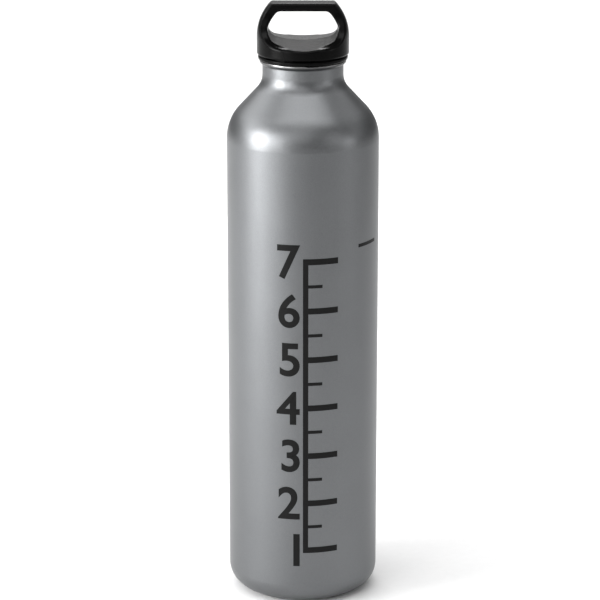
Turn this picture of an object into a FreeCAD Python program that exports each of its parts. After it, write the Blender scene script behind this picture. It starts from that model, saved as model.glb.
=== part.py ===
"""Camping fuel bottle: an aluminium bottle with a push-and-turn screw cap that has a carrying loop.

Millimetres, +Z up, origin at the centre of the foot. The cap's pieces are drawn from planes of their own
(the plug from the bottle's lip, the outer cap from its skirt's lower edge) and placed on the bottle.
"""
import FreeCAD, Part
import math
import os

import Sketcher

# Driving dimensions, in millimetres, degrees and counts
SIZES = {
    # Bottle: foot, barrel, shoulder, neck and lip
    "body_radius": 37.0,
    "body_wall": 1.0,
    "base_wall": 2.0,
    "base_round": 10.8,
    "foot_width": 3.2,
    "punt_depth": 6.0,
    "barrel_height": 230.45,
    "shoulder_round": 22.0,
    "shoulder_angle": 43.0,
    "neck_round": 9.85,
    "neck_radius": 19.63,
    "neck_wall": 3.53,
    "neck_length": 7.7,
    "lip_reach": 1.37,
    "lip_height": 2.7,
    "lip_round": 0.8,
    # Seat for the seal in the neck, and the thread between neck and plug
    "seat_width": 1.15,
    "seat_depth": 1.9,
    "bore_margin": 0.2,
    "thread_pitch": 3.5,
    "thread_depth": 1.15,
    "thread_crest": 1.0,
    "thread_flank_angle": 25.0,
    "thread_clearance": 0.35,
    "thread_runout": 1.4,
    # Plug: flange, head, shank with its vents, and the spring well
    "flange_overhang": 0.7,
    "flange_thickness": 1.65,
    "flange_round": 0.5,
    "head_thickness": 1.1,
    "head_clearance": 0.3,
    "shank_length": 12.4,
    "shank_wall": 2.55,
    "shank_chamfer": 0.6,
    "deck_thickness": 1.5,
    "well_radius": 8.0,
    "well_depth": 11.0,
    "well_wall": 2.0,
    "vent_width": 3.0,
    "vent_depth": 0.3,
    "vent_count": 4,
    # Drive lugs between the plug's head and the outer cap, as deep as the cap's push
    "lug_count": 8,
    "lug_width": 4.2,
    "lug_length": 4.9,
    "lug_margin": 1.5,
    "lug_clearance": 0.15,
    "push_travel": 0.7,
    "push_clearance": 0.2,
    # Outer cap: skirt, dome, scooped sides and the window of the loop
    "skirt_overhang": 0.58,
    "skirt_round": 0.6,
    "skirt_wall": 2.08,
    "snap_bead_height": 0.5,
    "snap_bead_reach": 0.85,
    "snap_clearance": 0.15,
    "cap_height": 24.75,
    "dome_start": 8.15,
    "dome_round": 24.35,
    "loop_thickness": 11.0,
    "loop_side": 5.78,
    "loop_bar": 4.2,
    "scoop_round": 15.4,
    "scoop_wall": 2.0,
    "roof_thickness": 3.15,
    "window_draft": 4.6,
    "window_floor_slope": 15.5,
    "window_corner_round": 5.0,
    "window_waist_round": 2.0,
    "window_waist_lean": 22.0,
    "window_top_lean": 40.0,
    "window_top_round": 3.0,
    "edge_round": 1.2,
    "peg_radius": 3.6,
    "peg_length": 1.6,
    # Seal, spring and slip washer
    "seal_clearance": 0.2,
    "wire_radius": 0.5,
    "spring_turns": 5,
    "spring_clearance": 0.5,
    "spring_end_gap": 0.05,
    "washer_thickness": 0.4,
    "washer_overlap": 1.6,
    "washer_clearance": 0.3,
    # Common overrun of cuts past a surface
    "overrun": 2.0,
}

FULL_TURN = 360.0
SHARP_ANGLE = 20.0
STEPS_PER_TURN = 48
CUTS = ("Pocket", "Groove", "SubtractiveHelix")
LEFT = 1
RIGHT = -1


class Size:
    """A length or an angle worked out from the sheet: its number, and the expression that binds it."""

    def __init__(self, number, text):
        self.number = number
        self.text = text

    def __add__(self, other):
        return Size(self.number + other.number, f"({self.text} + {other.text})")

    def __sub__(self, other):
        return Size(self.number - other.number, f"({self.text} - {other.text})")

    def __neg__(self):
        return Size(-self.number, f"(0 - {self.text})")

    def __mul__(self, other):
        other = other if isinstance(other, Size) else Size(other, str(other))
        return Size(self.number * other.number, f"({self.text} * {other.text})")

    def __truediv__(self, other):
        other = other if isinstance(other, Size) else Size(other, str(other))
        return Size(self.number / other.number, f"({self.text} / {other.text})")


def size(name):
    return Size(SIZES[name], f"Sizes.{name}")


def sine(angle):
    return Size(math.sin(math.radians(angle.number)), f"sin({angle.text})")


def cosine(angle):
    return Size(math.cos(math.radians(angle.number)), f"cos({angle.text})")


def tangent(angle):
    return Size(math.tan(math.radians(angle.number)), f"tan({angle.text})")


def slope_of(rise, run):
    ratio = rise / run
    return Size(math.degrees(math.atan(ratio.number)), f"atan({ratio.text})")


def span(start, end):
    """Straight distance between two corners."""
    across = end[0] - start[0]
    up = end[1] - start[1]
    number = math.hypot(across.number, up.number)
    return Size(number, f"sqrt({across.text} * {across.text} + {up.text} * {up.text})")


def leg(longest, other):
    """Third side of a right-angled triangle."""
    number = math.sqrt(longest.number ** 2 - other.number ** 2)
    return Size(number, f"sqrt({longest.text} * {longest.text} - {other.text} * {other.text})")


def angle(degrees):
    return Size(degrees, str(degrees))


NONE = Size(0.0, "0")
WHOLE = Size(1.0, "1")
QUARTER_TURN = angle(FULL_TURN / 4)

doc = FreeCAD.newDocument("FuelBottle")


def make_sheet():
    sheet = doc.addObject("Spreadsheet::Sheet", "Sizes")
    for row, (name, value) in enumerate(SIZES.items(), start=1):
        sheet.set(f"A{row}", name)
        sheet.set(f"B{row}", str(value))
        sheet.setAlias(f"B{row}", name)
    doc.recompute()


def make_body(name):
    body = doc.addObject("PartDesign::Body", name)
    body.Label = name
    return body


def origin_of(body, role):
    return next(item for item in body.Origin.OriginFeatures if item.Role == role)


def bind(thing, path, value):
    thing.setExpression(path, value.text)


def make_sketch(body, name, plane, lift=None):
    """A sketch on one of the body's own origin planes, lifted along the plane's normal if asked."""
    sketch = body.newObject("Sketcher::SketchObject", name)
    sketch.AttachmentSupport = [(origin_of(body, plane), "")]
    sketch.MapMode = "FlatFace"
    if lift is not None:
        sketch.AttachmentOffset = FreeCAD.Placement(FreeCAD.Vector(0, 0, lift.number), FreeCAD.Rotation())
        bind(sketch, "AttachmentOffset.Base.z", lift)
    return sketch


def pin_down(sketch, run, end, corner):
    """Hold one end of a run at a corner (across, up) measured from the sketch's origin."""
    for kind, axis, place in (("DistanceX", -2, corner[0]), ("DistanceY", -1, corner[1])):
        if place is NONE:
            sketch.addConstraint(Sketcher.Constraint("PointOnObject", run, end, axis))
        else:
            row = sketch.addConstraint(Sketcher.Constraint(kind, -1, 1, run, end, place.number))
            bind(sketch, f"Constraints[{row}]", place)


def arc_between(start, end, turn, side):
    """Arc from start to end that turns by an angle to one side; and its radius."""
    chord = span(start, end)
    half = turn / 2
    radius = chord / (sine(half) * 2)
    middle_x = (start[0].number + end[0].number) / 2
    middle_y = (start[1].number + end[1].number) / 2
    along_x = (end[0].number - start[0].number) / chord.number
    along_y = (end[1].number - start[1].number) / chord.number
    offset = side * radius.number * math.cos(math.radians(half.number))
    centre = FreeCAD.Vector(middle_x - along_y * offset, middle_y + along_x * offset, 0)
    first, last = (start, end) if side == LEFT else (end, start)
    begin = math.atan2(first[1].number - centre.y, first[0].number - centre.x)
    finish = math.atan2(last[1].number - centre.y, last[0].number - centre.x)
    circle = Part.Circle(centre, FreeCAD.Vector(0, 0, 1), radius.number)
    return Part.ArcOfCircle(circle, begin, finish), radius


def draw(sketch, corners, turns=None):
    """Close an outline through its corners; turns holds the arc's turn and side for the round runs."""
    turns = turns or {}
    count = len(corners)
    ends = []
    for number in range(count):
        start = corners[number]
        end = corners[(number + 1) % count]
        if number in turns:
            turn, side = turns[number]
            arc, radius = arc_between(start, end, turn, side)
            run = sketch.addGeometry(arc)
            row = sketch.addConstraint(Sketcher.Constraint("Radius", run, radius.number))
            bind(sketch, f"Constraints[{row}]", radius)
            ends.append((run, 1, 2) if side == LEFT else (run, 2, 1))
        else:
            first = FreeCAD.Vector(start[0].number, start[1].number, 0)
            last = FreeCAD.Vector(end[0].number, end[1].number, 0)
            ends.append((sketch.addGeometry(Part.LineSegment(first, last)), 1, 2))
    for number in range(count):
        run, _, far_end = ends[number]
        following, near_end, _ = ends[(number + 1) % count]
        sketch.addConstraint(Sketcher.Constraint("Coincident", run, far_end, following, near_end))
    for (run, near_end, _), corner in zip(ends, corners):
        pin_down(sketch, run, near_end, corner)


def compare_volume(feature, kind):
    """Stop if a cut took nothing away, or an addition brought nothing."""
    if feature.BaseFeature is None:
        return
    gain = feature.Shape.Volume - feature.BaseFeature.Shape.Volume
    if (gain >= 0) == (kind in CUTS):
        raise RuntimeError(f"{feature.Name} changed the volume by {gain}")
    print(feature.Name, "changed the volume by", round(gain, 1))


def revolve(body, kind, name, corners, turns=None):
    """Turn an outline (radius, height) about the body's Z axis."""
    sketch = make_sketch(body, f"{name}_outline", "XZ_Plane")
    draw(sketch, corners, turns)
    feature = body.newObject(f"PartDesign::{kind}", name)
    feature.Profile = sketch
    feature.ReferenceAxis = (sketch, ["V_Axis"])
    feature.Angle = FULL_TURN
    doc.recompute()
    compare_volume(feature, kind)


def wind(body, kind, name, sketch, pitch, height):
    """Wind a section about the body's Z axis, right-handed and upwards."""
    feature = body.newObject(f"PartDesign::{kind}", name)
    feature.Profile = sketch
    feature.ReferenceAxis = (sketch, ["V_Axis"])
    feature.Mode = "pitch-height-angle"
    bind(feature, "Pitch", pitch)
    bind(feature, "Height", height)
    doc.recompute()
    compare_volume(feature, kind)


def extrude(body, kind, name, sketch, length, reverse=False, both_ways=False):
    feature = body.newObject(f"PartDesign::{kind}", name)
    feature.Profile = sketch
    bind(feature, "Length", length)
    feature.Reversed = reverse
    if both_ways:
        feature.SideType = "Symmetric"
    doc.recompute()
    compare_volume(feature, kind)
    return feature


def repeat_round(body, name, feature, count):
    pattern = body.newObject("PartDesign::PolarPattern", name)
    pattern.Originals = [feature]
    pattern.Axis = (origin_of(body, "Z_Axis"), [""])
    pattern.Angle = FULL_TURN
    bind(pattern, "Occurrences", count)
    body.Tip = pattern
    doc.recompute()


def raise_to(body, height):
    body.Placement.Base.z = height.number
    bind(body, "Placement.Base.z", height)


# Heights and radii that pieces share: the bottle's from its foot, the cap's from the lip
alpha = size("shoulder_angle")
both_rounds = size("shoulder_round") + size("neck_round")
slant_run = size("body_radius") - size("neck_radius") - both_rounds * (WHOLE - cosine(alpha))
neck_foot = size("barrel_height") + both_rounds * sine(alpha) + slant_run / tangent(alpha)
lip_level = neck_foot + size("neck_length")

lip_radius = size("neck_radius") + size("lip_reach")
bore_radius = size("neck_radius") - size("neck_wall")
bore_depth = size("shank_length") + size("bore_margin")
groove_radius = bore_radius + size("thread_depth")
seat_radius = groove_radius + size("seat_width")
core_radius = bore_radius - size("thread_clearance")
crest_radius = groove_radius - size("thread_clearance")
thread_reach = size("shank_length") - size("thread_runout")
flank = tangent(size("thread_flank_angle"))

flange_radius = lip_radius + size("flange_overhang")
skirt_radius = flange_radius + size("skirt_overhang")
skirt_gap = size("push_travel") + size("push_clearance")
skirt_level = size("flange_thickness") + skirt_gap
cavity_radius = skirt_radius - size("skirt_wall")
head_radius = cavity_radius - size("head_clearance")
bead_radius = cavity_radius - size("snap_bead_reach")
head_level = skirt_level + size("snap_bead_height") + size("snap_clearance")
face_level = head_level + size("head_thickness")
ceiling_level = face_level + size("push_travel") * 2 + size("lug_clearance")
cavity_height = ceiling_level - skirt_level
well_foot = face_level - size("well_depth")
washer_level = ceiling_level - size("washer_thickness")


def make_bottle():
    body = make_body("bottle_shell")
    radius = size("body_radius")
    wall = size("body_wall")
    base_round = size("base_round")
    inner_round = base_round - wall
    shoulder = size("shoulder_round")
    inner_shoulder = shoulder - wall
    neck_round = size("neck_round")
    floor = size("base_wall")
    foot = radius - base_round - size("foot_width")
    bead_foot = lip_level - size("lip_height")
    seat = lip_level - size("seat_depth")
    bore_foot = lip_level - bore_depth
    inner_x = radius - shoulder + inner_shoulder * cosine(alpha)
    inner_z = size("barrel_height") + inner_shoulder * sine(alpha)
    cone_x = inner_x - (bore_foot - inner_z) * tangent(alpha)
    punt_turn = slope_of(size("punt_depth"), foot) * 2
    corners = [
        (NONE, size("punt_depth")),
        (foot, NONE),
        (radius - base_round, NONE),
        (radius, base_round),
        (radius, size("barrel_height")),
        (radius - shoulder * (WHOLE - cosine(alpha)), size("barrel_height") + shoulder * sine(alpha)),
        (size("neck_radius") + neck_round * (WHOLE - cosine(alpha)), neck_foot - neck_round * sine(alpha)),
        (size("neck_radius"), neck_foot),
        (size("neck_radius"), bead_foot),
        (lip_radius, bead_foot + size("lip_reach")),
        (lip_radius, lip_level - size("lip_round")),
        (lip_radius - size("lip_round"), lip_level),
        (seat_radius, lip_level),
        (seat_radius, seat),
        (bore_radius, seat),
        (bore_radius, bore_foot),
        (cone_x, bore_foot),
        (inner_x, inner_z),
        (radius - wall, size("barrel_height")),
        (radius - wall, floor + inner_round),
        (radius - base_round, floor),
        (foot, floor),
        (NONE, floor + size("punt_depth")),
    ]
    turns = {
        0: (punt_turn, RIGHT),
        2: (QUARTER_TURN, LEFT),
        4: (alpha, LEFT),
        6: (alpha, RIGHT),
        10: (QUARTER_TURN, LEFT),
        17: (alpha, RIGHT),
        19: (QUARTER_TURN, RIGHT),
        21: (punt_turn, LEFT),
    }
    revolve(body, "Revolution", "bottle_wall", corners, turns)
    cut_neck_thread(body)


def cut_neck_thread(body):
    start = lip_level - thread_reach - size("thread_pitch")
    crest_half = size("thread_crest") / 2 + size("thread_clearance") / cosine(size("thread_flank_angle"))
    crest_half -= size("thread_clearance") * flank
    root_half = crest_half + (size("thread_depth") + size("overrun")) * flank
    inside = bore_radius - size("overrun")
    sketch = make_sketch(body, "neck_thread_section", "XZ_Plane")
    draw(sketch, [
        (inside, start - root_half),
        (groove_radius, start - crest_half),
        (groove_radius, start + crest_half),
        (inside, start + root_half),
    ])
    height = thread_reach + size("thread_pitch") + size("thread_pitch") / 2
    wind(body, "SubtractiveHelix", "neck_thread", sketch, size("thread_pitch"), height)


def make_plug():
    body = make_body("cap_plug")
    groove_wall = bead_radius - size("head_clearance")
    hollow = core_radius - size("shank_wall")
    cup_radius = size("well_radius") + size("well_wall")
    cup_foot = well_foot - size("well_wall")
    deck = -size("deck_thickness")
    edge = size("flange_round")
    corners = [
        (NONE, cup_foot),
        (cup_radius, cup_foot),
        (cup_radius, deck),
        (hollow, deck),
        (hollow, -size("shank_length")),
        (core_radius - size("shank_chamfer"), -size("shank_length")),
        (core_radius, size("shank_chamfer") - size("shank_length")),
        (core_radius, NONE),
        (flange_radius - edge, NONE),
        (flange_radius, edge),
        (flange_radius, size("flange_thickness") - edge),
        (flange_radius - edge, size("flange_thickness")),
        (groove_wall, size("flange_thickness")),
        (groove_wall, head_level),
        (head_radius, head_level),
        (head_radius, face_level),
        (size("well_radius"), face_level),
        (size("well_radius"), well_foot),
        (NONE, well_foot),
    ]
    turns = {8: (QUARTER_TURN, LEFT), 10: (QUARTER_TURN, LEFT)}
    revolve(body, "Revolution", "plug_wall", corners, turns)
    add_plug_thread(body)
    lug = make_sketch(body, "plug_lug_section", "XY_Plane", face_level)
    draw_lug(lug)
    lug_pad = extrude(body, "Pad", "plug_lug", lug, size("push_travel"))
    repeat_round(body, "plug_lugs", lug_pad, size("lug_count"))
    raise_to(body, lip_level)


def add_plug_thread(body):
    start = -thread_reach
    crest_half = size("thread_crest") / 2
    root = core_radius - size("thread_clearance")
    root_half = crest_half + (crest_radius - root) * flank
    rise = thread_reach - size("seat_depth") * 2
    sketch = make_sketch(body, "plug_thread_section", "XZ_Plane")
    draw(sketch, [
        (root, start - root_half),
        (crest_radius, start - crest_half),
        (crest_radius, start + crest_half),
        (root, start + root_half),
    ])
    wind(body, "AdditiveHelix", "plug_thread", sketch, size("thread_pitch"), rise)
    slot = make_sketch(body, "vent_section", "XY_Plane", -size("shank_length") - size("overrun"))
    half_width = size("vent_width") / 2
    inside = core_radius - size("vent_depth")
    outside = crest_radius + size("overrun")
    draw(slot, [
        (inside, -half_width),
        (outside, -half_width),
        (outside, half_width),
        (inside, half_width),
    ])
    length = size("shank_length") + size("overrun") - size("seat_depth")
    vent = extrude(body, "Pocket", "vent", slot, length, reverse=True)
    repeat_round(body, "vents", vent, size("vent_count"))


def draw_lug(sketch):
    half_width = size("lug_width") / 2
    outer = head_radius - size("lug_margin")
    inner = outer - size("lug_length")
    draw(sketch, [(inner, -half_width), (outer, -half_width), (outer, half_width), (inner, half_width)])


def make_cap_shell():
    body = make_body("cap_shell")
    edge = size("skirt_round")
    dome_rise = size("cap_height") - size("dome_start")
    dome_run = leg(size("dome_round"), dome_rise)
    top_radius = skirt_radius - size("dome_round") + dome_run
    corners = [
        (NONE, NONE),
        (skirt_radius - edge, NONE),
        (skirt_radius, edge),
        (skirt_radius, size("dome_start")),
        (top_radius, size("cap_height")),
        (NONE, size("cap_height")),
    ]
    turns = {1: (QUARTER_TURN, LEFT), 3: (slope_of(dome_rise, dome_run), LEFT)}
    revolve(body, "Revolution", "cap_dome", corners, turns)
    scoop_sides(body)
    window = open_window(body)
    round_edges(body, window)
    hollow_cap(body)
    raise_to(body, lip_level + skirt_level)


def scoop_sides(body):
    """Hollow scoops front and back leave the loop standing on the skirt."""
    face = size("loop_thickness") / 2
    floor = cavity_height + size("scoop_wall")
    outside = skirt_radius + size("scoop_round")
    above = size("cap_height") + size("overrun")
    sketch = make_sketch(body, "scoop_section", "YZ_Plane")
    corners = [
        (face, floor + size("scoop_round")),
        (face + size("scoop_round"), floor),
        (outside, floor),
        (outside, above),
        (face, above),
    ]
    draw(sketch, corners, {0: (QUARTER_TURN, LEFT)})
    scoop = extrude(body, "Pocket", "front_scoop", sketch, outside * 2, both_ways=True)
    mirror = body.newObject("PartDesign::Mirrored", "back_scoop")
    mirror.Originals = [scoop]
    mirror.MirrorPlane = (origin_of(body, "XZ_Plane"), [""])
    body.Tip = mirror
    doc.recompute()


def open_window(body):
    """The loop's window, drafted to both sides from its middle: arcs in line from its floor to its top."""
    slope = size("window_floor_slope")
    corner = size("window_corner_round")
    waist = size("window_waist_round")
    waist_lean = size("window_waist_lean")
    top_lean = size("window_top_lean")
    top_round = size("window_top_round")
    top = size("cap_height") - size("loop_bar")
    half_width = skirt_radius - size("loop_side")
    floor_half = half_width - corner * (WHOLE - sine(slope))
    floor_end = cavity_height + size("roof_thickness") + floor_half * tangent(slope / 2)
    waist_level = floor_end + corner * cosine(slope)
    side_start = waist_level + waist * sine(waist_lean)
    side_end = top - top_round * (WHOLE - sine(top_lean))
    side_round = (side_end - side_start) / (sine(top_lean) - sine(waist_lean))
    side_foot = half_width - waist * (WHOLE - cosine(waist_lean))
    side_top = side_foot - side_round * (cosine(waist_lean) - cosine(top_lean))
    right = [
        (floor_half, floor_end),
        (half_width, waist_level),
        (side_foot, side_start),
        (side_top, side_end),
        (side_top - top_round * cosine(top_lean), top),
    ]
    left = [(-across, up) for across, up in right]
    corners = left[:1] + right + left[:0:-1]
    side_turns = [QUARTER_TURN - slope, waist_lean, top_lean - waist_lean, QUARTER_TURN - top_lean]
    arcs = [slope * 2] + side_turns + [None] + side_turns[::-1]
    sketch = make_sketch(body, "window_section", "XZ_Plane")
    draw(sketch, corners, {number: (turn, LEFT) for number, turn in enumerate(arcs) if turn})
    outside = skirt_radius + size("overrun")
    window = extrude(body, "Pocket", "window", sketch, outside * 2, both_ways=True)
    bind(window, "TaperAngle", size("window_draft"))
    doc.recompute()
    return window


def round_edges(body, feature):
    """Round the moulding's sharp edges; the skirt's foot and the window's draft line stay as they are."""
    shape = feature.Shape
    names = []
    for number, edge in enumerate(shape.Edges, start=1):
        faces = shape.ancestorsOfType(edge, Part.Face)
        place = edge.valueAt((edge.FirstParameter + edge.LastParameter) / 2)
        normals = [face.normalAt(*face.Surface.parameter(place)) for face in faces]
        if len(faces) == 2 and math.degrees(normals[0].getAngle(normals[1])) > SHARP_ANGLE:
            names.append(f"Edge{number}")
    fillet = body.newObject("PartDesign::Fillet", "rounded_edges")
    fillet.Base = (feature, names)
    bind(fillet, "Radius", size("edge_round"))
    doc.recompute()


def hollow_cap(body):
    """Room for the plug's head, a snap bead under it, lugs that mesh with the plug's and a centring peg."""
    below = -size("overrun")
    revolve(body, "Groove", "cap_hollow", [
        (NONE, below),
        (bead_radius, below),
        (bead_radius, size("snap_bead_height")),
        (cavity_radius, size("snap_bead_height")),
        (cavity_radius, cavity_height),
        (NONE, cavity_height),
    ])
    lug = make_sketch(body, "cap_lug_section", "XY_Plane", cavity_height)
    half_pitch = angle(FULL_TURN / 2) / size("lug_count")
    lug.AttachmentOffset = FreeCAD.Placement(
        FreeCAD.Vector(0, 0, cavity_height.number),
        FreeCAD.Rotation(FreeCAD.Vector(0, 0, 1), half_pitch.number),
    )
    bind(lug, "AttachmentOffset.Rotation.Angle", half_pitch)
    draw_lug(lug)
    lug_pad = extrude(body, "Pad", "cap_lug", lug, size("push_travel"), reverse=True)
    repeat_round(body, "cap_lugs", lug_pad, size("lug_count"))
    peg_foot = cavity_height - size("peg_length")
    revolve(body, "Revolution", "peg", [
        (NONE, peg_foot),
        (size("peg_radius"), peg_foot),
        (size("peg_radius"), cavity_height),
        (NONE, cavity_height),
    ])


def make_ring(name, inner, outer, foot, top, level):
    """A plain turned ring, placed at a level."""
    body = make_body(name)
    revolve(body, "Revolution", f"{name}_ring", [(inner, foot), (outer, foot), (outer, top), (inner, top)])
    raise_to(body, level)


def make_seal():
    inner = core_radius + size("seal_clearance")
    outer = seat_radius - size("seal_clearance")
    make_ring("plug_seal", inner, outer, -size("seat_depth"), NONE, lip_level)


def make_washer():
    inner = size("peg_radius") + size("washer_clearance")
    outer = size("well_radius") + size("washer_overlap")
    make_ring("slip_washer", inner, outer, washer_level, ceiling_level, lip_level)


def make_spring():
    body = make_body("return_spring")
    wire = size("wire_radius")
    mean_radius = size("well_radius") - size("spring_clearance") - wire
    start = well_foot + size("spring_end_gap") + wire
    rise = washer_level - size("spring_end_gap") - wire - start
    sketch = make_sketch(body, "wire_section", "XZ_Plane")
    centre = FreeCAD.Vector(mean_radius.number, start.number, 0)
    run = sketch.addGeometry(Part.Circle(centre, FreeCAD.Vector(0, 0, 1), wire.number))
    row = sketch.addConstraint(Sketcher.Constraint("Radius", run, wire.number))
    bind(sketch, f"Constraints[{row}]", wire)
    pin_down(sketch, run, 3, (mean_radius, start))
    pitch = rise / size("spring_turns")
    wind(body, "AdditiveHelix", "spring_coil", sketch, pitch, rise)
    raise_to(body, lip_level)
    print_least_gap(mean_radius.number, pitch.number, 2 * wire.number)


def print_least_gap(radius, pitch, thickness):
    """Measure the coil's least gap to itself on points along its wire."""
    points = []
    for step in range(SIZES["spring_turns"] * STEPS_PER_TURN + 1):
        turn = step / STEPS_PER_TURN
        bearing = math.radians(FULL_TURN * turn)
        points.append(FreeCAD.Vector(radius * math.cos(bearing), radius * math.sin(bearing), pitch * turn))
    apart = STEPS_PER_TURN // 2
    gaps = []
    for number, point in enumerate(points):
        gaps.extend(point.distanceToPoint(other) for other in points[number + apart:])
    print("least gap between the spring's turns", round(min(gaps) - thickness, 3))


make_sheet()
make_bottle()
make_plug()
make_seal()
make_spring()
make_washer()
make_cap_shell()

for item in doc.Objects:
    if "Invalid" in item.State or "Error" in item.State:
        raise RuntimeError(f"{item.Name} failed: {item.getStatusString()}")
os.makedirs("parts", exist_ok=True)
for body in doc.Objects:
    if body.TypeId != "PartDesign::Body":
        continue
    shape = body.Shape
    if shape.isNull() or not shape.isValid():
        raise RuntimeError(f"{body.Label} has no valid shape")
    print(body.Label, "solids", len(shape.Solids), "volume", round(shape.Volume, 1), shape.BoundBox)
    shape.exportStep(f"parts/{body.Label}.step")
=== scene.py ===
"""Camping fuel bottle: finishes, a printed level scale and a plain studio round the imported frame.

Metres, in the part's own frame: +Z up, origin at the centre of the foot, the camera on the -Y side.
"""

import math

import bmesh
import bpy
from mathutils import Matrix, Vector


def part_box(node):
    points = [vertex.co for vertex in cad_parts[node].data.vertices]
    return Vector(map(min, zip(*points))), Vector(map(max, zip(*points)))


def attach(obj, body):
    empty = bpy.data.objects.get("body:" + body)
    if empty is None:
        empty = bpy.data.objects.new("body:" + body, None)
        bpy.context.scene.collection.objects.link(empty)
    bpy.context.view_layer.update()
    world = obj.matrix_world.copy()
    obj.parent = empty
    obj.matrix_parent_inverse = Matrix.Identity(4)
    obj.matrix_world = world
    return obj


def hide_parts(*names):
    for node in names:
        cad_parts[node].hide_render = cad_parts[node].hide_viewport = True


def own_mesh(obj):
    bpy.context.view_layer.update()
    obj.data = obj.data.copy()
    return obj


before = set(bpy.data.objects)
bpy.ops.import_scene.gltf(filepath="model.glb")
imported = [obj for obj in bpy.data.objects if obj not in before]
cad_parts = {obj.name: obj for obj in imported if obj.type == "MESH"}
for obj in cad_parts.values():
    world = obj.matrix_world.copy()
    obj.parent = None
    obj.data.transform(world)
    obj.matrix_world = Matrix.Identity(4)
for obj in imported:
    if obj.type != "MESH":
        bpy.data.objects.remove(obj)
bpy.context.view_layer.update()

MM = 0.001

# Places on the bottle, read from the frame
bottle_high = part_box("bottle_shell")[1]
BODY_RADIUS = bottle_high.x
LIP_LEVEL = bottle_high.z

# Stretches of a noise texture's values, which lie about 0.5
MOST_NOISE = (0.3, 0.7)
ALL_NOISE = (0.25, 0.75)
HIGH_NOISE = (0.45, 0.75)

# Coat of the bottle: its greys, a tint towards blue, its roughness and its grain
COAT_GREYS = (0.147, 0.189)
COAT_CLOUD_GREY = 0.21
COAT_CLOUD_SHARE = 0.15
COAT_TINT = 0.03
COAT_ROUGHNESS = (0.36, 0.46)
COAT_GRAIN_DEPTH = 0.012 * MM
FLAKE_SIZE = 0.3 * MM
COAT_CLOUD_SIZE = 30 * MM

# Lip and inside of the bottle: turned bright metal, with a painted shade line under the lip
BRIGHT_LIP_HEIGHT = 0.95 * MM
LIP_EDGE = 0.1 * MM
LIP_GREYS = (0.22, 0.3)
LIP_ROUGHNESS = 0.22
LIP_SHADE_HEIGHT = 2.4 * MM
LIP_SHADE_GREY = 0.05
LIP_SHADE_SHARE = 0.5
INSIDE_START = 12 * MM
INSIDE_EDGE = 1 * MM
INSIDE_REACH = (-2 * MM, -1 * MM)
INSIDE_GREYS = (0.72, 0.86)
INSIDE_ROUGHNESS = (0.28, 0.42)
TURNED_LINE_LENGTH = 6 * MM
TURNED_LINE_SQUEEZE = 40

# Black mouldings of the cap and the plug
CAP_GRAIN = 0.35 * MM
PLUG_GRAIN = 0.25 * MM
MOULDING_GREYS = (0.0015, 0.0024)
MOULDING_ROUGHNESS = (0.15, 0.25)
MOULDING_SPECULAR = 0.07
MOULDING_CLOUD_SIZE = 12 * MM
MOULDING_GRAIN_DEPTH = 0.01 * MM

# Rubber of the seal
RUBBER_GREYS = (0.018, 0.045)
RUBBER_ROUGHNESS = (0.6, 0.8)
DUST_SIZE = 1.2 * MM
DUST_DEPTH = 0.02 * MM

# Steel of the spring and the washer
STEEL_GREYS = (0.5, 0.68)
STEEL_TINT = 0.01
STEEL_ROUGHNESS = (0.22, 0.38)
DRAWN_LINE_LENGTH = 5 * MM
DRAWN_LINE_SQUEEZE = 25
DRAWN_LINE_DEPTH = 0.01 * MM

# Ink of the print
INK_GREYS = (0.002, 0.006)
INK_ROUGHNESS = (0.4, 0.55)
INK_SPECULAR = 0.15
INK_GRAIN_DEPTH = 0.01 * MM

# Printed level scale: one mark for each decilitre of fuel, and a line for the highest fill
MARK_COUNT = 7
MARK_STEP = 24.56 * MM
FIRST_MARK_LEVEL = 30.0 * MM
MARK_LENGTH = 17.5 * MM
HALF_MARK_LENGTH = 9.5 * MM
MARK_THICKNESS = 3.0 * MM
HALF_MARK_THICKNESS = 1.6 * MM
RAIL_WIDTH = 2.6 * MM
NUMBER_HEIGHT = 16.0 * MM
NUMBER_BOLDNESS = 0.45 * MM
NUMBER_GAP = 2.0 * MM
FILL_LINE_LEVEL = 182.5 * MM
FILL_LINE_BEARING = 58.0
FILL_LINE_WIDTH = 15.0 * MM
FILL_LINE_HEIGHT = 1.7 * MM
INK_DEPTH = 0.12 * MM
INK_RISE = 0.03 * MM
INK_STRIP = 0.6 * MM
LEAST_EDGE = 0.02 * MM
SAME_FONT_POINT = 1e-5
SHARPEST_CORNER = 0.35

# Camera, fitted to the photograph's frame
CAMERA_PLACE = (-1.42 * MM, -1276.4 * MM, 518.7 * MM)
CAMERA_PITCH = 16.2
CAMERA_LENS = 161.25
CAMERA_SENSOR = 36.0

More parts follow.
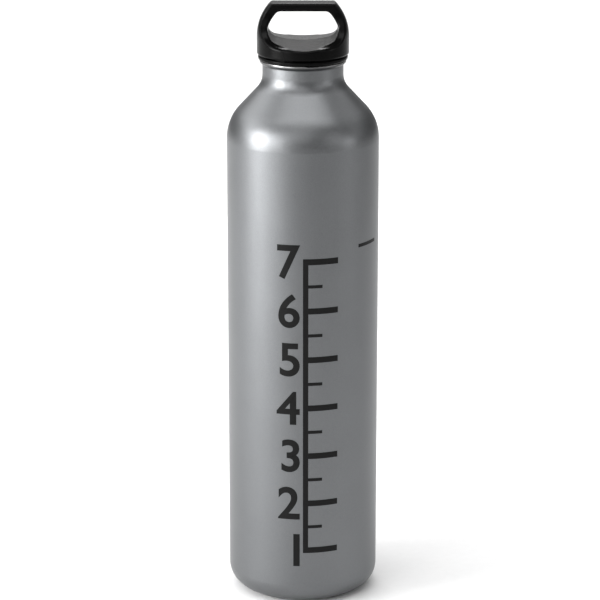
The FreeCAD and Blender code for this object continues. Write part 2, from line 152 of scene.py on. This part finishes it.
# Studio: each soft light's place, the point that it is aimed at, its width, height and power in watts
FLOOR_SIZE = 16.0
FLOOR_DROP = 0.05 * MM
FLOOR_GREYS = (0.76, 0.8)
FLOOR_ROUGHNESS = 0.9
FLOOR_SPECULAR = 0.1
FIBRE_SIZE = 4 * MM
BOTTLE_MIDDLE = (0, 0, 0.15)
ROOM_LEVEL = 0.14
SOFT_LIGHTS = {
    "key_light": ((-1.26, -0.48, 0.46), BOTTLE_MIDDLE, 0.6, 0.75, 23.5),
    "left_light": ((-1.15, 0.12, 0.95), BOTTLE_MIDDLE, 0.5, 1.2, 4.8),
    "front_left_light": ((-1.3, -1.5, 0.6), BOTTLE_MIDDLE, 0.7, 1.1, 12.5),
    "front_light": ((-0.4, -1.5, 1.05), BOTTLE_MIDDLE, 1.6, 0.7, 4.5),
    "front_right_light": ((1.15, -1.05, 0.72), BOTTLE_MIDDLE, 0.7, 0.7, 2.2),
    "front_top_light": ((0, -1.0, 1.4), BOTTLE_MIDDLE, 0.8, 0.8, 1.5),
    "fill_light": ((1.32, -0.43, 0.35), BOTTLE_MIDDLE, 0.3, 0.3, 1.6),
    "right_light": ((1.15, 0.12, 0.95), BOTTLE_MIDDLE, 0.5, 1.2, 1.3),
    "top_light": ((0, -0.4, 1.75), BOTTLE_MIDDLE, 2.0, 0.6, 14.5),
    "back_light": ((0, 2.2, 0.8), (0, 0.6, 0), 1.6, 1.6, 3.5),
    "high_back_light": ((0, 1.5, 1.35), (0, 0.8, 0), 1.4, 0.8, 25.0),
    "rear_left_light": ((-0.7, 0.5, 0.7), (-0.7, 0.5, 0), 0.7, 0.7, 3.9),
    "rear_right_light": ((0.95, 0.6, 1.1), BOTTLE_MIDDLE, 0.6, 0.6, 1.2),
}


def set_inputs(tree, node, values):
    """Set a node's inputs, or link those whose value is a socket."""
    for name, value in values.items():
        if isinstance(value, bpy.types.NodeSocket):
            tree.links.new(value, node.inputs[name])
        else:
            node.inputs[name].default_value = value


def add_node(tree, kind, values, **settings):
    node = tree.nodes.new(kind)
    for name, value in settings.items():
        setattr(node, name, value)
    set_inputs(tree, node, values)
    return node


def new_material(name):
    """A material, its tree, its shader and the object's own coordinates."""
    material = bpy.data.materials.new(name)
    material.use_nodes = True
    tree = material.node_tree
    place = add_node(tree, "ShaderNodeTexCoord", {}).outputs["Object"]
    return material, tree, tree.nodes["Principled BSDF"], place


def stretch(tree, vector, scale):
    return add_node(tree, "ShaderNodeVectorMath", {0: vector, 1: scale}, operation="MULTIPLY").outputs[0]


def noise(tree, vector, grain, detail=2.0, roughness=0.5):
    """Noise whose grains are about that many metres across."""
    values = {"Vector": vector, "Scale": 1 / grain, "Detail": detail, "Roughness": roughness}
    return add_node(tree, "ShaderNodeTexNoise", values).outputs[0]


def lines_round_axis(tree, place, length, squeeze, detail):
    """Fine lines round the axis: noise that is squeezed along it."""
    return noise(tree, stretch(tree, place, (1, 1, squeeze)), length, detail)


def coat_flake(tree, place):
    return noise(tree, place, FLAKE_SIZE, detail=3.0, roughness=0.7)


def multiply(tree, first, second):
    return add_node(tree, "ShaderNodeMath", {0: first, 1: second}, operation="MULTIPLY").outputs[0]


def remap(tree, value, start, end, low, high):
    """Low below start, high above end, and smooth between them."""
    values = {"Value": value, "From Min": start, "From Max": end, "To Min": low, "To Max": high}
    return add_node(tree, "ShaderNodeMapRange", values, interpolation_type="SMOOTHSTEP").outputs[0]


def mix_colours(tree, share, first, second):
    return add_node(tree, "ShaderNodeMix", {0: share, 6: first, 7: second}, data_type="RGBA").outputs[2]


def mix_values(tree, share, first, second):
    return add_node(tree, "ShaderNodeMix", {0: share, 2: first, 3: second}, data_type="FLOAT").outputs[0]


def grey(level, tint=0.0):
    """An opaque grey, a little cooler with tint."""
    return (level * (1 - tint), level, level * (1 + tint), 1.0)


def mix_greys(tree, share, levels):
    return mix_colours(tree, share, grey(levels[0]), grey(levels[1]))


def bump(tree, height, depth):
    return add_node(tree, "ShaderNodeBump", {"Height": height, "Distance": depth}).outputs[0]


def inside_share(tree, place, height):
    """One on faces above the base that look towards the bottle's axis, nothing on the others."""
    normal = add_node(tree, "ShaderNodeNewGeometry", {}).outputs["Normal"]
    flat_place = stretch(tree, place, (1, 1, 0))
    outward = add_node(tree, "ShaderNodeVectorMath", {0: flat_place, 1: normal}, operation="DOT_PRODUCT")
    facing_in = remap(tree, outward.outputs["Value"], *INSIDE_REACH, 1, 0)
    above_base = remap(tree, height, INSIDE_START, INSIDE_START + INSIDE_EDGE, 0, 1)
    return multiply(tree, facing_in, above_base)


def make_bottle_paint():
    """Satin metallic coat with a fine sprayed grain, burnished on the lip; the inside is bare aluminium."""
    material, tree, shader, place = new_material("bottle_paint")
    height = add_node(tree, "ShaderNodeSeparateXYZ", {0: place}).outputs["Z"]
    inside = inside_share(tree, place, height)
    lip_foot = LIP_LEVEL - BRIGHT_LIP_HEIGHT
    shade_foot = lip_foot - LIP_SHADE_HEIGHT
    lip = remap(tree, height, lip_foot - LIP_EDGE, lip_foot + LIP_EDGE, 0, 1)
    # Painted shade: the coat is darkened in a band under the lip, where the bead's shadow falls
    painted_lip_shade = remap(tree, height, shade_foot, shade_foot + LIP_SHADE_HEIGHT / 2, 0, LIP_SHADE_SHARE)

    flake = coat_flake(tree, place)
    cloud = noise(tree, place, COAT_CLOUD_SIZE)
    turned = lines_round_axis(tree, place, TURNED_LINE_LENGTH, TURNED_LINE_SQUEEZE, detail=3.0)
    dark, light = (grey(level, COAT_TINT) for level in COAT_GREYS)
    colour = mix_colours(tree, remap(tree, flake, *MOST_NOISE, 0, 1), dark, light)
    clouded = remap(tree, cloud, *MOST_NOISE, 0, COAT_CLOUD_SHARE)
    colour = mix_colours(tree, clouded, colour, grey(COAT_CLOUD_GREY, COAT_TINT))
    # Painted shade under the lip
    colour = mix_colours(tree, painted_lip_shade, colour, grey(LIP_SHADE_GREY))
    colour = mix_colours(tree, lip, colour, mix_greys(tree, turned, LIP_GREYS))
    colour = mix_colours(tree, inside, colour, mix_greys(tree, turned, INSIDE_GREYS))
    roughness = mix_values(tree, lip, remap(tree, flake, *ALL_NOISE, *COAT_ROUGHNESS), LIP_ROUGHNESS)
    roughness = mix_values(tree, inside, roughness, remap(tree, turned, *MOST_NOISE, *INSIDE_ROUGHNESS))
    set_inputs(tree, shader, {
        "Base Color": colour,
        "Metallic": 1.0,
        "Roughness": roughness,
        "Normal": bump(tree, mix_values(tree, inside, flake, 0.0), COAT_GRAIN_DEPTH),
    })
    return material


def make_moulding(name, grain):
    """Black moulded plastic with the fine texture of its mould."""
    material, tree, shader, place = new_material(name)
    fine = noise(tree, place, grain, detail=3.0, roughness=0.6)
    cloud = noise(tree, place, MOULDING_CLOUD_SIZE)
    set_inputs(tree, shader, {
        "Base Color": mix_greys(tree, cloud, MOULDING_GREYS),
        "Roughness": remap(tree, fine, *ALL_NOISE, *MOULDING_ROUGHNESS),
        "Specular IOR Level": MOULDING_SPECULAR,
        "Normal": bump(tree, fine, MOULDING_GRAIN_DEPTH),
    })
    return material


def make_rubber():
    """Black rubber with a little pale dust."""
    material, tree, shader, place = new_material("seal_rubber")
    dust = noise(tree, place, DUST_SIZE, detail=4.0)
    set_inputs(tree, shader, {
        "Base Color": mix_greys(tree, remap(tree, dust, *HIGH_NOISE, 0, 1), RUBBER_GREYS),
        "Roughness": remap(tree, dust, *MOST_NOISE, *RUBBER_ROUGHNESS),
        "Normal": bump(tree, dust, DUST_DEPTH),
    })
    return material


def make_drawn_steel():
    """Bright steel with fine lines round the axis, as drawn wire and stamped sheet have."""
    material, tree, shader, place = new_material("drawn_steel")
    lines = lines_round_axis(tree, place, DRAWN_LINE_LENGTH, DRAWN_LINE_SQUEEZE, detail=4.0)
    dark, light = STEEL_GREYS
    set_inputs(tree, shader, {
        "Base Color": mix_colours(tree, lines, grey(dark), grey(light, STEEL_TINT)),
        "Metallic": 1.0,
        "Roughness": remap(tree, lines, *MOST_NOISE, *STEEL_ROUGHNESS),
        "Normal": bump(tree, lines, DRAWN_LINE_DEPTH),
    })
    return material


def make_ink():
    """Black screen-printed ink that follows the coat's grain."""
    material, tree, shader, place = new_material("print_ink")
    flake = coat_flake(tree, place)
    set_inputs(tree, shader, {
        "Base Color": mix_greys(tree, flake, INK_GREYS),
        "Roughness": remap(tree, flake, *ALL_NOISE, *INK_ROUGHNESS),
        "Specular IOR Level": INK_SPECULAR,
        "Normal": bump(tree, flake, INK_GRAIN_DEPTH),
    })
    return material


def make_floor_paper():
    material, tree, shader, place = new_material("floor_paper")
    set_inputs(tree, shader, {
        "Base Color": mix_greys(tree, noise(tree, place, FIBRE_SIZE, detail=3.0), FLOOR_GREYS),
        "Roughness": FLOOR_ROUGHNESS,
        "Specular IOR Level": FLOOR_SPECULAR,
    })
    return material


def dress(piece, material):
    piece.data.materials.clear()
    piece.data.materials.append(material)


def add_piece(name, mesh, material):
    piece = bpy.data.objects.new(name, mesh)
    bpy.context.scene.collection.objects.link(piece)
    dress(piece, material)
    return piece


def coil_return_spring(steel):
    """A copy of the spring's coil, carried with the plug in place of the frame's spring; the real coil
    shortens as the cap is pushed down on it.
    """
    coil = add_piece("spring_coil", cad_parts["return_spring"].data.copy(), steel)
    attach(coil, "plug")
    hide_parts("return_spring")
    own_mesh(coil)


def thicken(bm, flat):
    """Give a flat sheet the ink's thickness and add it to the print."""
    bmesh.ops.triangulate(flat, faces=flat.faces[:])
    grown = bmesh.ops.extrude_face_region(flat, geom=flat.faces[:], use_keep_orig=True)["geom"]
    for item in grown:
        if isinstance(item, bmesh.types.BMVert):
            item.co.z = INK_RISE
    bmesh.ops.recalc_face_normals(flat, faces=flat.faces)
    part = bpy.data.meshes.new("print_part")
    flat.to_mesh(part)
    flat.free()
    bm.from_mesh(part)
    bpy.data.meshes.remove(part)


def add_shape(bm, outline):
    """A flat shape of ink inside an outline of points (across, up)."""
    flat = bmesh.new()
    flat.faces.new([flat.verts.new((across, up, -INK_DEPTH)) for across, up in outline])
    flat.normal_update()
    thicken(bm, flat)


def embolden(flat, amount):
    """Move the rim of a flat sheet outwards by an amount, with its corners kept sharp."""
    moves = {}
    for vert in flat.verts:
        outward = []
        for edge in vert.link_edges:
            if edge.is_boundary:
                along = (edge.verts[1].co - edge.verts[0].co).normalized()
                normal = Vector((along.y, -along.x, 0))
                inside = edge.link_faces[0].calc_center_median() - edge.verts[0].co
                outward.append(normal if normal.dot(inside) < 0 else -normal)
        corner = (outward[0] + outward[1]).normalized()
        moves[vert] = corner * amount / max(corner.dot(outward[0]), SHARPEST_CORNER)
    for vert, move in moves.items():
        vert.co += move


def number_sheet(text):
    """A number of the built-in font as a flat sheet."""
    curve = bpy.data.curves.new("number", "FONT")
    curve.body = text
    number = bpy.data.objects.new("number", curve)
    bpy.context.scene.collection.objects.link(number)
    bpy.context.view_layer.update()
    mesh = bpy.data.meshes.new_from_object(number)
    bpy.data.objects.remove(number)
    bpy.data.curves.remove(curve)
    flat = bmesh.new()
    flat.from_mesh(mesh)
    bpy.data.meshes.remove(mesh)
    bmesh.ops.remove_doubles(flat, verts=flat.verts, dist=SAME_FONT_POINT)
    return flat


def add_number(bm, text, right, middle):
    """A bold number whose right edge and middle height are given."""
    flat = number_sheet(text)
    end = max(vert.co.x for vert in flat.verts)
    foot = min(vert.co.y for vert in flat.verts)
    head = max(vert.co.y for vert in flat.verts)
    scale = NUMBER_HEIGHT / (head - foot)
    centre = (head + foot) / 2
    for vert in flat.verts:
        across = (vert.co.x - end) * scale + right
        up = (vert.co.y - centre) * scale + middle
        vert.co = Vector((across, up, -INK_DEPTH))
    embolden(flat, NUMBER_BOLDNESS)
    thicken(bm, flat)


def wrap_on_barrel(bm, bearing):
    """Cut a flat print into narrow strips and lay it round the barrel; bearing 0 faces the camera."""
    start = min(vert.co.x for vert in bm.verts)
    end = max(vert.co.x for vert in bm.verts)
    across = Vector((1, 0, 0))
    for step in range(1, math.ceil((end - start) / INK_STRIP)):
        everything = bm.verts[:] + bm.edges[:] + bm.faces[:]
        place = across * (start + step * INK_STRIP)
        bmesh.ops.bisect_plane(bm, geom=everything, plane_co=place, plane_no=across, dist=LEAST_EDGE)
    bmesh.ops.dissolve_degenerate(bm, edges=bm.edges, dist=LEAST_EDGE)
    for vert in bm.verts:
        turn = vert.co.x / BODY_RADIUS + math.radians(bearing)
        radius = BODY_RADIUS + vert.co.z
        vert.co = Vector((radius * math.sin(turn), -radius * math.cos(turn), vert.co.y))


def finish_print(bm, name, bearing, ink):
    wrap_on_barrel(bm, bearing)
    mesh = bpy.data.meshes.new(name)
    bm.to_mesh(mesh)
    bm.free()
    piece = add_piece(name, mesh, ink)
    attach(piece, "bottle")


def mark_level(mark):
    return FIRST_MARK_LEVEL + mark * MARK_STEP


def print_level_scale(ink):
    """A rail with a long mark and a plain number for each decilitre, and a short mark between."""
    bm = bmesh.new()
    rail_head = mark_level(MARK_COUNT - 1) + MARK_THICKNESS / 2
    rail_foot = mark_level(0) - MARK_THICKNESS / 2
    comb = []
    for half in range(2 * MARK_COUNT - 1):
        whole = half % 2 == 0
        length = MARK_LENGTH if whole else HALF_MARK_LENGTH
        thickness = MARK_THICKNESS if whole else HALF_MARK_THICKNESS
        low = mark_level(half / 2) - thickness / 2
        high = mark_level(half / 2) + thickness / 2
        comb += [(RAIL_WIDTH, low), (length, low), (length, high), (RAIL_WIDTH, high)]
    add_shape(bm, [(0, rail_head), (0, rail_foot)] + comb[1:-1])
    for mark in range(MARK_COUNT):
        add_number(bm, str(mark + 1), -NUMBER_GAP, mark_level(mark))
    finish_print(bm, "level_scale", 0.0, ink)


def print_fill_line(ink):
    bm = bmesh.new()
    half_width = FILL_LINE_WIDTH / 2
    low = FILL_LINE_LEVEL - FILL_LINE_HEIGHT / 2
    high = FILL_LINE_LEVEL + FILL_LINE_HEIGHT / 2
    add_shape(bm, [(-half_width, low), (half_width, low), (half_width, high), (-half_width, high)])
    finish_print(bm, "fill_line", FILL_LINE_BEARING, ink)


def make_floor():
    half = FLOOR_SIZE / 2
    corners = [(-half, -half), (half, -half), (half, half), (-half, half)]
    mesh = bpy.data.meshes.new("floor")
    mesh.from_pydata([(x, y, -FLOOR_DROP) for x, y in corners], [], [(0, 1, 2, 3)])
    floor = add_piece("floor", mesh, make_floor_paper())


def make_world():
    world = bpy.data.worlds.new("studio")
    world.use_nodes = True
    world.node_tree.nodes["Background"].inputs["Color"].default_value = grey(ROOM_LEVEL)
    bpy.context.scene.world = world


def add_soft_light(name, place, aim, width, height, power):
    light = bpy.data.lights.new(name, "AREA")
    light.shape = "RECTANGLE"
    light.size = width
    light.size_y = height
    light.energy = power
    lamp = bpy.data.objects.new(name, light)
    lamp.location = place
    lamp.rotation_euler = (Vector(place) - Vector(aim)).to_track_quat("Z", "Y").to_euler()
    lamp.visible_camera = False
    bpy.context.scene.collection.objects.link(lamp)


def make_camera():
    data = bpy.data.cameras.new("camera")
    data.lens = CAMERA_LENS
    data.sensor_width = CAMERA_SENSOR
    camera = bpy.data.objects.new("camera", data)
    camera.location = CAMERA_PLACE
    camera.rotation_euler = (math.pi / 2 - math.radians(CAMERA_PITCH), 0, 0)
    bpy.context.scene.collection.objects.link(camera)
    bpy.context.scene.camera = camera


steel = make_drawn_steel()
finishes = {
    "bottle_shell": make_bottle_paint(),
    "cap_shell": make_moulding("cap_moulding", CAP_GRAIN),
    "cap_plug": make_moulding("plug_moulding", PLUG_GRAIN),
    "plug_seal": make_rubber(),
    "return_spring": steel,
    "slip_washer": steel,
}
for node, finish in finishes.items():
    dress(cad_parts[node], finish)
coil_return_spring(steel)

ink = make_ink()
print_level_scale(ink)
print_fill_line(ink)

make_floor()
make_world()
for name, light in SOFT_LIGHTS.items():
    add_soft_light(name, *light)
make_camera()
bpy.context.scene.view_settings.view_transform = "Standard"
